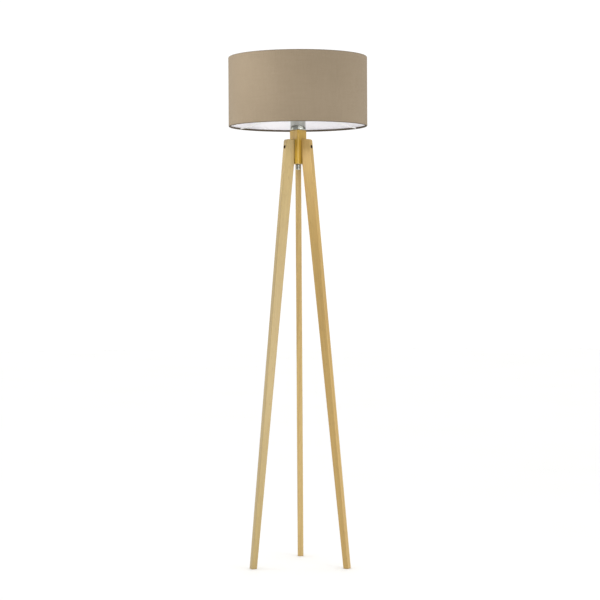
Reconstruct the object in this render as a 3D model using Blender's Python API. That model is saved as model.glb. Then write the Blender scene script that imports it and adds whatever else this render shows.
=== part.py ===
"""Tripod floor lamp: three tapered wooden legs bolted round a wooden hub, a metal E27 lampholder on top of the hub and a
fabric drum shade held on the lampholder by a ring.

Frame: metres, +Z up, origin on the lamp's axis at floor level, front towards -Y. Lengths below are in millimetres and
are turned into metres by mm().
"""

import math

import bmesh
import bpy
from mathutils import Matrix, Vector

# ---------------------------------------------------------------- driving dimensions (mm)
GAP = 0.3                      # clearance left between neighbouring solids

# hub block: a prism with three flat faces and three rounded corners, one corner to the front
HUB_FACE = 15.0                # axis to each flat face
HUB_CORNER_R = 3.2
HUB_BOTTOM, HUB_TOP = 1157.0, 1255.0
HUB_EASE = 1.0

# legs: flat tapered planks, each in a vertical plane through the axis
LEG_AZIMUTH = {"left": 210.0, "right": -30.0, "back": 90.0}
LEG_THICK = 17.0
LEG_TOP = 1228.0
LEG_KNEE = 1180.0              # where the inner edge leaves the hub
FOOT_OUT, FOOT_IN = 162.6, 146.6
LEG_TOP_OUT = 42.5
LEG_CORNER_R = 6.5
LEG_EASE = 1.3

# leg fixings
SCREW_Z = 1206.0
SCREW_R, HEAD_R, HEAD_H = 2.5, 4.25, 5.0
COUNTERBORE_R, COUNTERBORE_FLOOR = 4.75, 33.5
SCREW_TIP = 8.5
SOCKET_ACROSS, SOCKET_DEEP = 4.0, 2.6
INSERT_R, INSERT_IN, INSERT_OUT = 4.0, 7.3, 14.8
DOWEL_Z, DOWEL_R, DOWEL_IN, DOWEL_OUT = 1189.0, 3.0, 9.0, 26.0

# threaded tube through the hub, with the cable gland under it
TUBE_R, TUBE_BORE = 5.0, 3.9
TUBE_BOTTOM, TUBE_TOP = 1148.3, 1262.0
GLAND_R, GLAND_BORE, GLAND_BOTTOM = 7.0, 3.9, 1141.0
LOCKNUT_ACROSS, LOCKNUT_H = 14.0, 3.4

# lampholder
CUP_R, CUP_WALL, CUP_BASE, CUP_TOP = 22.0, 1.2, 1.5, 1284.0
SHOULDER = 1298.0              # the shade's ring rests here
NECK_R, NECK_BORE, NECK_TOP = 19.8, 17.5, 1322.0
CORE_R = 17.1
SHELL_R, SHELL_WALL = 13.4, 0.5

# shade
SHADE_R, SHADE_BOTTOM, SHADE_TOP = 200.0, 1265.0, 1465.0
FABRIC = 1.0
HEM_DEEP, HEM_IN = 7.0, 192.8
LINER_OUT, LINER = 198.7, 0.5
WIRE_R, WIRE_CENTRE = 1.8, 196.0
FITTER_IN, FITTER_OUT, FITTER_H = 20.4, 30.5, 1.5
CLAMP_IN, CLAMP_OUT, CLAMP_H = 20.1, 27.0, 6.0
SPOKE_R = 1.7
SPOKE_AZIMUTH = {"front": -90.0, "right": 30.0, "left": 150.0}

# bulb
BULB_TIP = 1283.5
BULB_CAP_R, BULB_CAP_TOP = 13.05, 1309.0
BULB_R, BULB_TOP, BULB_WALL = 30.0, 1391.0, 0.8


def mm(*values):
    scaled = tuple(v / 1000.0 for v in values)
    return scaled[0] if len(scaled) == 1 else scaled


# ---------------------------------------------------------------- scene and materials
for old in list(bpy.data.objects):
    bpy.data.objects.remove(old, do_unlink=True)


def linear(channel):
    c = channel / 255.0
    return c / 12.92 if c <= 0.04045 else ((c + 0.055) / 1.055) ** 2.4


def material(name, rgb, roughness, metallic=0.0):
    made = bpy.data.materials.new(name)
    made.use_nodes = True
    shader = made.node_tree.nodes["Principled BSDF"]
    shader.inputs["Base Color"].default_value = (*[linear(c) for c in rgb], 1.0)
    shader.inputs["Roughness"].default_value = roughness
    shader.inputs["Metallic"].default_value = metallic
    return made


WOOD = material("clear_lacquered_wood", (206, 176, 122), 0.45)
DOWEL_WOOD = material("beech_dowel", (214, 184, 140), 0.7)
CHROME = material("chrome", (200, 200, 196), 0.18, 1.0)
ZINC = material("zinc_plated_steel", (170, 170, 168), 0.35, 1.0)
BRASS = material("brass", (190, 160, 90), 0.3, 1.0)
BLACK_STEEL = material("black_oxide_steel", (45, 42, 38), 0.5, 0.8)
CERAMIC = material("glazed_ceramic", (235, 232, 224), 0.3)
NYLON = material("clear_nylon", (225, 222, 210), 0.45)
WHITE_STEEL = material("white_coated_steel", (236, 236, 234), 0.4)
TAUPE = material("taupe_fabric", (176, 160, 134), 0.95)
LINER_WHITE = material("white_liner", (242, 242, 240), 0.55)
OPAL = material("opal_glass", (245, 244, 238), 0.25)


# ---------------------------------------------------------------- modelling helpers
def empty(name, location):
    made = bpy.data.objects.new(name, None)
    made.empty_display_size = 0.03
    made.location = location
    bpy.context.scene.collection.objects.link(made)
    return made


def place(name, mesh, mat, location=(0, 0, 0), rotation=(0, 0, 0), parent=None, smooth=32.0):
    obj = bpy.data.objects.new(name, mesh)
    bpy.context.scene.collection.objects.link(obj)
    if mat is not None:
        mesh.materials.append(mat)
    if smooth:
        mesh.shade_smooth()
        mesh.set_sharp_from_angle(angle=math.radians(smooth))
    if parent is not None:
        obj.parent = parent
        location = Vector(location) - parent.location
    obj.location = location
    obj.rotation_euler = rotation
    return obj


def mesh_from(bm, name):
    bmesh.ops.recalc_face_normals(bm, faces=bm.faces)
    mesh = bpy.data.meshes.new(name)
    bm.to_mesh(mesh)
    bm.free()
    return mesh


def turned(name, outline, segments):
    """A solid of revolution about Z. outline is a closed loop of (radius, height) in mm."""
    bm = bmesh.new()
    ring = [bm.verts.new(mm(r, 0.0, z)) for r, z in outline]
    edges = []
    for i, vert in enumerate(ring):
        after = ring[(i + 1) % len(ring)]
        if vert.co.x > 1e-7 or after.co.x > 1e-7:
            edges.append(bm.edges.new((vert, after)))
    bmesh.ops.spin(
        bm,
        geom=ring + edges,
        cent=(0, 0, 0),
        axis=(0, 0, 1),
        angle=2 * math.pi,
        steps=segments,
        use_merge=False,
    )
    bmesh.ops.remove_doubles(bm, verts=bm.verts, dist=5e-6)
    return mesh_from(bm, name)


def prism(name, outline, low, high):
    """A prism along Z from a closed loop of (x, y) in mm."""
    bm = bmesh.new()
    base = bm.faces.new([bm.verts.new(mm(x, y, low)) for x, y in outline])
    top = bmesh.ops.extrude_face_region(bm, geom=[base])["geom"]
    bmesh.ops.translate(
        bm,
        verts=[v for v in top if isinstance(v, bmesh.types.BMVert)],
        vec=mm(0.0, 0.0, high - low),
    )
    return mesh_from(bm, name)


def circle(radius, segments, start=0.0):
    return [
        (radius * math.cos(start + 2 * math.pi * i / segments), radius * math.sin(start + 2 * math.pi * i / segments))
        for i in range(segments)
    ]


def polygon_across(flats, sides, start=0.0):
    return circle(flats / 2 / math.cos(math.pi / sides), sides, start)


def rounded(points, radii, steps):
    """The closed loop of points with each corner turned into an arc of the given radius (0 keeps it sharp)."""
    out = []
    count = len(points)
    for i, point in enumerate(points):
        radius = radii[i]
        p = Vector(point)
        if radius <= 0:
            out.append(tuple(p))
            continue
        a = (Vector(points[i - 1]) - p).normalized()
        b = (Vector(points[(i + 1) % count]) - p).normalized()
        half = a.angle(b) / 2
        centre = p + (a + b).normalized() * (radius / math.sin(half))
        start = p + a * (radius / math.tan(half)) - centre
        end = p + b * (radius / math.tan(half)) - centre
        turn = start.angle_signed(end)
        for k in range(steps + 1):
            angle = -turn * k / steps
            out.append(
                (
                    centre.x + start.x * math.cos(angle) - start.y * math.sin(angle),
                    centre.y + start.x * math.sin(angle) + start.y * math.cos(angle),
                )
            )
    return out


def cutter(name, mesh, location=(0, 0, 0), rotation=(0, 0, 0)):
    made = place(name, mesh, None, location, rotation, smooth=0)
    made.hide_render = True
    made.display_type = "WIRE"
    return made


def cut(obj, tool):
    modifier = obj.modifiers.new("cut_" + tool.name, "BOOLEAN")
    modifier.operation = "DIFFERENCE"
    modifier.solver = "EXACT"
    modifier.object = tool


def ease(obj, width, segments=2, angle=40.0):
    modifier = obj.modifiers.new("eased_edges", "BEVEL")
    modifier.width = mm(width)
    modifier.segments = segments
    modifier.limit_method = "ANGLE"
    modifier.angle_limit = math.radians(angle)


def radial(azimuth):
    """Rotation that lays an object's own +Z along the outward direction at this azimuth, in degrees."""
    return (0.0, math.pi / 2, math.radians(azimuth))


def rod(name, low, high, radius, segments=20):
    return prism(name, circle(radius, segments), low, high)


# ---------------------------------------------------------------- hub block
def hub_outline():
    corner = 2 * HUB_FACE
    points = [
        (corner * math.cos(math.radians(a)), corner * math.sin(math.radians(a))) for a in (-90.0, 30.0, 150.0)
    ]
    return rounded(points, [HUB_CORNER_R] * 3, 8)


hub = place("hub_block", prism("hub_block", hub_outline(), HUB_BOTTOM, HUB_TOP), WOOD)
ease(hub, HUB_EASE)
cut(hub, cutter("hub_bore_cutter", rod("hub_bore_cutter", HUB_BOTTOM - 5, HUB_TOP + 5, TUBE_R + GAP, 32)))

# ---------------------------------------------------------------- legs and their fixings
LEG_OUTLINE = rounded(
    [(FOOT_IN, 0.0), (FOOT_OUT, 0.0), (LEG_TOP_OUT, LEG_TOP), (HUB_FACE + GAP, LEG_TOP), (HUB_FACE + GAP, LEG_KNEE)],
    [0, 0, LEG_CORNER_R, 0, 0],
    6,
)


def leg_mesh():
    """The plank standing in the X-Z plane: its outline spans radius (X) and height (Z), its thickness spans Y."""
    mesh = prism("leg", LEG_OUTLINE, -LEG_THICK / 2, LEG_THICK / 2)
    mesh.transform(Matrix(((1, 0, 0, 0), (0, 0, -1, 0), (0, 1, 0, 0), (0, 0, 0, 1))))
    return mesh


for side, azimuth in LEG_AZIMUTH.items():
    turn = radial(azimuth)
    leg = place("leg_" + side, leg_mesh(), WOOD, rotation=(0, 0, math.radians(azimuth)))
    ease(leg, LEG_EASE)
    at_screw, at_dowel = mm(0.0, 0.0, SCREW_Z), mm(0.0, 0.0, DOWEL_Z)
    cut(
        leg,
        cutter(
            "leg_counterbore_cutter_" + side, rod("leg_counterbore", COUNTERBORE_FLOOR, 60.0, COUNTERBORE_R), at_screw, turn
        ),
    )
    cut(leg, cutter("leg_screw_hole_cutter_" + side, rod("leg_screw_hole", 12.0, 36.0, SCREW_R + GAP), at_screw, turn))
    cut(leg, cutter("leg_dowel_hole_cutter_" + side, rod("leg_dowel_hole", 12.0, DOWEL_OUT + GAP, DOWEL_R + GAP), at_dowel, turn))
    cut(
        hub,
        cutter(
            "hub_insert_bore_cutter_" + side, rod("hub_insert_bore", INSERT_IN - GAP, 24.0, INSERT_R + GAP), at_screw, turn
        ),
    )
    cut(
        hub,
        cutter("hub_dowel_hole_cutter_" + side, rod("hub_dowel_hole", DOWEL_IN - GAP, 24.0, DOWEL_R + GAP), at_dowel, turn),
    )

    under_head = COUNTERBORE_FLOOR + GAP
    screw = place(
        "leg_screw_" + side,
        turned(
            "leg_screw",
            [
                (0.0, SCREW_TIP),
                (SCREW_R - 0.5, SCREW_TIP),
                (SCREW_R, SCREW_TIP + 0.7),
                (SCREW_R, under_head),
                (HEAD_R, under_head),
                (HEAD_R, under_head + HEAD_H - 0.4),
                (HEAD_R - 0.4, under_head + HEAD_H),
                (0.0, under_head + HEAD_H),
            ],
            20,
        ),
        BLACK_STEEL,
        at_screw,
        turn,
    )
    socket = prism(
        "hex_socket", polygon_across(SOCKET_ACROSS, 6), under_head + HEAD_H - SOCKET_DEEP, under_head + HEAD_H + 2
    )
    cut(screw, cutter("hex_socket_cutter_" + side, socket, at_screw, turn))

    place(
        "hub_insert_nut_" + side,
        turned(
            "hub_insert_nut",
            [
                (SCREW_R + GAP, INSERT_IN),
                (INSERT_R - 0.5, INSERT_IN),
                (INSERT_R, INSERT_IN + 0.8),
                (INSERT_R, INSERT_OUT),
                (SCREW_R + GAP, INSERT_OUT),
            ],
            16,
        ),
        ZINC,
        at_screw,
        turn,
    )
    place(
        "leg_dowel_" + side,
        turned(
            "leg_dowel",
            [
                (0.0, DOWEL_IN),
                (DOWEL_R - 0.6, DOWEL_IN),
                (DOWEL_R, DOWEL_IN + 0.9),
                (DOWEL_R, DOWEL_OUT - 0.9),
                (DOWEL_R - 0.6, DOWEL_OUT),
                (0.0, DOWEL_OUT),
            ],
            16,
        ),
        DOWEL_WOOD,
        at_dowel,
        turn,
    )

# ---------------------------------------------------------------- threaded tube, cable gland, lock nut
place(
    "threaded_tube",
    turned(
        "threaded_tube",
        [(TUBE_BORE, TUBE_BOTTOM), (TUBE_R, TUBE_BOTTOM), (TUBE_R, TUBE_TOP), (TUBE_BORE, TUBE_TOP)],
        32,
    ),
    ZINC,
)
GLAND_TOP = HUB_BOTTOM - GAP
gland = place(
    "cable_gland",
    turned(
        "cable_gland",
        [
            (GLAND_BORE, GLAND_BOTTOM),
            (GLAND_R - 1.0, GLAND_BOTTOM),
            (GLAND_R, GLAND_BOTTOM + 1.0),
            (GLAND_R, GLAND_TOP),
            (TUBE_R + GAP, GLAND_TOP),
            (TUBE_R + GAP, TUBE_BOTTOM - GAP),
            (GLAND_BORE, TUBE_BOTTOM - GAP),
        ],
        32,
    ),
    CHROME,
)
GRIP_Z, GRIP_R = 1144.8, 1.5
cut(gland, cutter("grip_screw_hole_cutter", rod("grip_screw_hole", 2.0, 9.0, GRIP_R + GAP, 16), mm(0.0, 0.0, GRIP_Z), radial(90.0)))
grip = place(
    "gland_grip_screw",
    turned("gland_grip_screw", [(0.0, 4.2), (GRIP_R, 4.2), (GRIP_R, 7.4), (0.0, 7.4)], 16),
    NYLON,
    mm(0.0, 0.0, GRIP_Z),
    radial(90.0),
)
slot_mesh = prism("grip_slot", [(-2.0, -0.25), (2.0, -0.25), (2.0, 0.25), (-2.0, 0.25)], 6.7, 8.0)
cut(grip, cutter("grip_slot_cutter", slot_mesh, mm(0.0, 0.0, GRIP_Z), radial(90.0)))

# ---------------------------------------------------------------- lampholder
CUP_FOOT = HUB_TOP + GAP
CUP_FLOOR = CUP_FOOT + CUP_BASE
cup = place(
    "lampholder_cup",
    turned(
        "lampholder_cup",
        [
            (TUBE_R + GAP, CUP_FOOT),
            (CUP_R - 1.4, CUP_FOOT),
            (CUP_R - 0.4, CUP_FOOT + 0.4),
            (CUP_R, CUP_FOOT + 1.4),
            (CUP_R, CUP_TOP),
            (CUP_R - CUP_WALL, CUP_TOP),
            (CUP_R - CUP_WALL, CUP_FLOOR),
            (TUBE_R + GAP, CUP_FLOOR),
        ],
        40,
    ),
    CHROME,
)
EARTH_AT = (0.0, 14.5)
cut(cup, cutter("earth_hole_cutter", rod("earth_hole", CUP_FOOT - 2, CUP_FLOOR + 2, 1.8, 16), mm(*EARTH_AT, 0.0)))
place(
    "earth_screw",
    turned(
        "earth_screw",
        [
            (0.0, CUP_FOOT + 0.2),
            (1.5, CUP_FOOT + 0.2),
            (1.5, CUP_FLOOR + GAP),
            (3.0, CUP_FLOOR + GAP),
            (3.0, CUP_FLOOR + 1.9),
            (2.4, CUP_FLOOR + 2.4),
            (0.0, CUP_FLOOR + 2.4),
        ],
        16,
    ),
    ZINC,
    mm(*EARTH_AT, 0.0),
)
locknut = place(
    "tube_locknut",
    prism("tube_locknut", polygon_across(LOCKNUT_ACROSS, 6), CUP_FLOOR + GAP, CUP_FLOOR + GAP + LOCKNUT_H),
    ZINC,
    smooth=20,
)
cut(locknut, cutter("locknut_bore_cutter", rod("locknut_bore", CUP_FLOOR - 2, CUP_FLOOR + 8, TUBE_R + GAP, 32)))

CORE_BOTTOM, CORE_FLOOR, CORE_TOP = 1270.0, 1279.0, 1317.0
place(
    "lampholder_core",
    turned(
        "lampholder_core",
        [
            (0.0, CORE_BOTTOM),
            (CORE_R, CORE_BOTTOM),
            (CORE_R, CUP_TOP - 3.0),
            (CUP_R - CUP_WALL - 0.4, CUP_TOP - 3.0),
            (CUP_R - CUP_WALL - 0.4, CUP_TOP - GAP),
            (CORE_R, CUP_TOP - GAP),
            (CORE_R, CORE_TOP),
            (16.1, CORE_TOP),
            (16.1, 1308.5),
            (SHELL_R + SHELL_WALL + GAP, 1305.0),
            (SHELL_R + SHELL_WALL + GAP, CORE_FLOOR),
            (0.0, CORE_FLOOR),
        ],
        32,
    ),
    CERAMIC,
)
place(
    "screw_shell",
    turned(
        "screw_shell",
        [
            (SHELL_R, CORE_FLOOR + GAP),
            (SHELL_R + SHELL_WALL, CORE_FLOOR + GAP),
            (SHELL_R + SHELL_WALL, 1304.0),
            (SHELL_R, 1304.0),
        ],
        32,
    ),
    BRASS,
)
# springy strip on the core's floor, rising to the bulb's centre contact
LEAF = [(-7.0, 0.0), (-3.0, 0.0), (-0.6, 2.9), (3.4, 3.1), (3.4, 3.7), (-0.9, 3.6), (-3.4, 0.6), (-7.0, 0.6)]
leaf_mesh = prism("centre_contact", LEAF, -2.5, 2.5)
leaf_mesh.transform(Matrix(((1, 0, 0, 0), (0, 0, -1, 0), (0, 1, 0, 0), (0, 0, 0, 1))))
place("centre_contact", leaf_mesh, BRASS, mm(0.0, 0.0, CORE_FLOOR + GAP), smooth=0)

for name, x in (("live", -12.0), ("neutral", 12.0)):
    block_low, block_high = 1262.5, CORE_BOTTOM - GAP
    block = place(
        "terminal_block_" + name,
        prism("terminal_block", [(-3.0, -4.0), (3.0, -4.0), (3.0, 4.0), (-3.0, 4.0)], block_low, block_high),
        BRASS,
        mm(x, 0.0, 0.0),
        smooth=0,
    )
    hole = rod("terminal_hole", block_low - 2, 1268.4, 1.7, 16)
    cut(block, cutter("terminal_hole_cutter_" + name, hole, mm(x, 0.0, 0.0)))
    wire_hole = rod("terminal_wire_hole", -6.0, 6.0, 1.2, 16)
    cut(block, cutter("terminal_wire_hole_cutter_" + name, wire_hole, mm(x, 0.0, 1266.0), (math.pi / 2, 0.0, 0.0)))
    place(
        "terminal_screw_" + name,
        turned(
            "terminal_screw",
            [(0.0, 1260.0), (2.2, 1260.0), (2.6, 1260.4), (2.6, 1262.2), (1.4, 1262.2), (1.4, 1264.3), (0.0, 1264.3)],
            16,
        ),
        ZINC,
        mm(x, 0.0, 0.0),
    )

place(
    "lampholder_sleeve",
    turned(
        "lampholder_sleeve",
        [
            (CUP_R - CUP_WALL, CUP_TOP + GAP),
            (CUP_R, CUP_TOP + GAP),
            (CUP_R, SHOULDER - 0.8),
            (CUP_R - 0.8, SHOULDER),
            (NECK_R, SHOULDER),
            (NECK_R, NECK_TOP - 0.8),
            (NECK_R - 0.8, NECK_TOP),
            (NECK_BORE, NECK_TOP),
            (NECK_BORE, SHOULDER - CUP_WALL),
            (CUP_R - CUP_WALL, SHOULDER - CUP_WALL),
        ],
        40,
    ),
    CHROME,
)

# ---------------------------------------------------------------- shade, turning on the lampholder's neck
FITTER_LOW = SHOULDER + GAP
shade_axis = empty("shade_axis", mm(0.0, 0.0, FITTER_LOW))


def on_axis(outline):
    return [(r, z - FITTER_LOW) for r, z in outline]


place(
    "shade_fabric",
    turned(
        "shade_fabric",
        on_axis(
            [
                (HEM_IN, SHADE_BOTTOM),
                (SHADE_R - 0.5, SHADE_BOTTOM),
                (SHADE_R, SHADE_BOTTOM + 0.5),
                (SHADE_R, SHADE_TOP - 0.5),
                (SHADE_R - 0.5, SHADE_TOP),
                (HEM_IN, SHADE_TOP),
                (HEM_IN, SHADE_TOP - HEM_DEEP),
                (HEM_IN + FABRIC, SHADE_TOP - HEM_DEEP),
                (HEM_IN + FABRIC, SHADE_TOP - FABRIC),
                (SHADE_R - FABRIC, SHADE_TOP - FABRIC),
                (SHADE_R - FABRIC, SHADE_BOTTOM + FABRIC),
                (HEM_IN + FABRIC, SHADE_BOTTOM + FABRIC),
                (HEM_IN + FABRIC, SHADE_BOTTOM + HEM_DEEP),
                (HEM_IN, SHADE_BOTTOM + HEM_DEEP),
            ]
        ),
        80,
    ),
    TAUPE,
    shade_axis.location,
    parent=shade_axis,
)
place(
    "shade_liner",
    turned(
        "shade_liner",
        on_axis(
            [
                (LINER_OUT - LINER, SHADE_BOTTOM + FABRIC + GAP),
                (LINER_OUT, SHADE_BOTTOM + FABRIC + GAP),
                (LINER_OUT, SHADE_TOP - FABRIC - GAP),
                (LINER_OUT - LINER, SHADE_TOP - FABRIC - GAP),
            ]
        ),
        80,
    ),
    LINER_WHITE,
    shade_axis.location,
    parent=shade_axis,
)
RING_LOW = SHADE_BOTTOM + FABRIC + GAP + WIRE_R
RING_HIGH = SHADE_TOP - FABRIC - GAP - WIRE_R
for name, height in (("shade_ring_bottom", RING_LOW), ("shade_ring_top", RING_HIGH)):
    section = [(WIRE_CENTRE + x, height + z) for x, z in circle(WIRE_R, 6)]
    place(name, turned(name, on_axis(section), 80), WHITE_STEEL, shade_axis.location, parent=shade_axis, smooth=60)

place(
    "shade_fitter_ring",
    turned(
        "shade_fitter_ring",
        on_axis(
            [
                (FITTER_IN, FITTER_LOW),
                (FITTER_OUT, FITTER_LOW),
                (FITTER_OUT, FITTER_LOW + FITTER_H),
                (FITTER_IN, FITTER_LOW + FITTER_H),
            ]
        ),
        40,
    ),
    WHITE_STEEL,
    shade_axis.location,
    parent=shade_axis,
)


def spoke_height(radius):
    """Level by the fitter ring, then a straight fall to the bottom ring, eased into each other."""
    start, end = 58.0, HEM_IN - 0.4
    top, low = FITTER_LOW + SPOKE_R + 0.05, RING_LOW
    t = min(max((radius - start) / (end - start), 0.0), 1.0)
    return top + (low - top) * (t * t * (3 - 2 * t) * 0.35 + t * 0.65)


for side, azimuth in SPOKE_AZIMUTH.items():
    curve = bpy.data.curves.new("shade_spoke_" + side, "CURVE")
    curve.dimensions = "3D"
    curve.bevel_depth = mm(SPOKE_R)
    curve.bevel_resolution = 2
    curve.use_fill_caps = True
    first, last, count = FITTER_OUT + GAP + 0.1, HEM_IN - 0.4, 9
    line = curve.splines.new("POLY")
    line.points.add(count - 1)
    for i in range(count):
        r = first + (last - first) * i / (count - 1)
        line.points[i].co = (*mm(r, 0.0, spoke_height(r) - FITTER_LOW), 1.0)
    curve.materials.append(WHITE_STEEL)
    spoke = bpy.data.objects.new("shade_spoke_" + side, curve)
    bpy.context.scene.collection.objects.link(spoke)
    spoke.parent = shade_axis
    spoke.rotation_euler = (0, 0, math.radians(azimuth))

# ---------------------------------------------------------------- ring nut that clamps the shade's fitter
CLAMP_LOW = FITTER_LOW + FITTER_H + GAP
place(
    "shade_clamp_ring",
    turned(
        "shade_clamp_ring",
        [
            (CLAMP_IN, 0.0),
            (CLAMP_OUT, 0.0),
            (CLAMP_OUT, CLAMP_H - 1.0),
            (CLAMP_OUT - 1.0, CLAMP_H),
            (CLAMP_IN, CLAMP_H),
        ],
        40,
    ),
    CHROME,
    mm(0.0, 0.0, CLAMP_LOW),
)

# ---------------------------------------------------------------- bulb, turning in the screw shell
bulb_axis = empty("bulb_axis", mm(0.0, 0.0, BULB_TIP))
place(
    "bulb_cap",
    turned(
        "bulb_cap",
        [
            (0.0, 0.0),
            (4.0, 0.0),
            (4.8, 0.6),
            (4.8, 1.6),
            (11.0, 4.4),
            (BULB_CAP_R, 6.0),
            (BULB_CAP_R, BULB_CAP_TOP - BULB_TIP),
            (0.0, BULB_CAP_TOP - BULB_TIP),
        ],
        32,
    ),
    ZINC,
    bulb_axis.location,
    parent=bulb_axis,
)


def bulb_outline(shrink):
    """Neck, flare and near-spherical head of the glass, as (radius, height above the tip), moved inwards by shrink."""
    neck_r, neck_z = 12.9, BULB_CAP_TOP + GAP - BULB_TIP
    centre = BULB_TOP - BULB_TIP - BULB_R
    joint = math.radians(-38.0)
    points = []
    head_r, head_z = BULB_R * math.cos(joint), centre + BULB_R * math.sin(joint)
    slope = Vector((-math.sin(joint), math.cos(joint)))
    p0, p3 = Vector((neck_r, neck_z)), Vector((head_r, head_z))
    p1, p2 = p0 + Vector((0.0, 12.0)), p3 - slope * 12.0
    steps = 6
    for i in range(steps):
        t = i / steps
        p = p0 * (1 - t) ** 3 + p1 * 3 * t * (1 - t) ** 2 + p2 * 3 * t * t * (1 - t) + p3 * t**3
        d = (p1 - p0) * (1 - t) ** 2 + (p2 - p1) * 2 * t * (1 - t) + (p3 - p2) * t * t
        n = Vector((d.y, -d.x)).normalized()
        q = p - n * shrink
        points.append((q.x, neck_z if i == 0 else q.y))
    arc = 9
    for i in range(arc):
        a = joint + (math.pi / 2 - joint) * i / arc
        points.append(((BULB_R - shrink) * math.cos(a), centre + (BULB_R - shrink) * math.sin(a)))
    points.append((0.0, centre + BULB_R - shrink))
    return points


# outer wall from the neck to the crown, then the inner wall back down to the open neck
place(
    "bulb_glass",
    turned("bulb_glass", bulb_outline(0.0) + bulb_outline(BULB_WALL)[::-1], 32),
    OPAL,
    bulb_axis.location,
    parent=bulb_axis,
    smooth=60,
)
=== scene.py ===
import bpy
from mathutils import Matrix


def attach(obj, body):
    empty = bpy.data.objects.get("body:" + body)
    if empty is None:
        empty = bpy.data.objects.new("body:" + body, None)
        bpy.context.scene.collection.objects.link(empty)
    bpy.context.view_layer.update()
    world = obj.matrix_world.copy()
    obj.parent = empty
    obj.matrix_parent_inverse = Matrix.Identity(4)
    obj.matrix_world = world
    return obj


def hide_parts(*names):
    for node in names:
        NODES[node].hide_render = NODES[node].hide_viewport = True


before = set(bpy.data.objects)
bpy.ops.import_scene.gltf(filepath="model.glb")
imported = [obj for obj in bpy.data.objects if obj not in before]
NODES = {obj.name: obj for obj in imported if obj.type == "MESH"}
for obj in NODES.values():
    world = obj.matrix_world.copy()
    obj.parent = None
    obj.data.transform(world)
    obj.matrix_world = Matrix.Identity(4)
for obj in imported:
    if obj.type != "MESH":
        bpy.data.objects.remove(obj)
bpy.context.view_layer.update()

import math

import bmesh
import bpy
import numpy as np
from mathutils import Matrix, Vector

# Looks of the tripod floor lamp, in metres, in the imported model's frame. Lengths in the helpers below are in millimetres.
SCENE = bpy.context.scene


def srgb(r, g, b):
    def channel(c):
        c /= 255.0
        return c / 12.92 if c <= 0.04045 else ((c + 0.055) / 1.055) ** 2.4
    return (channel(r), channel(g), channel(b), 1.0)


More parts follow.
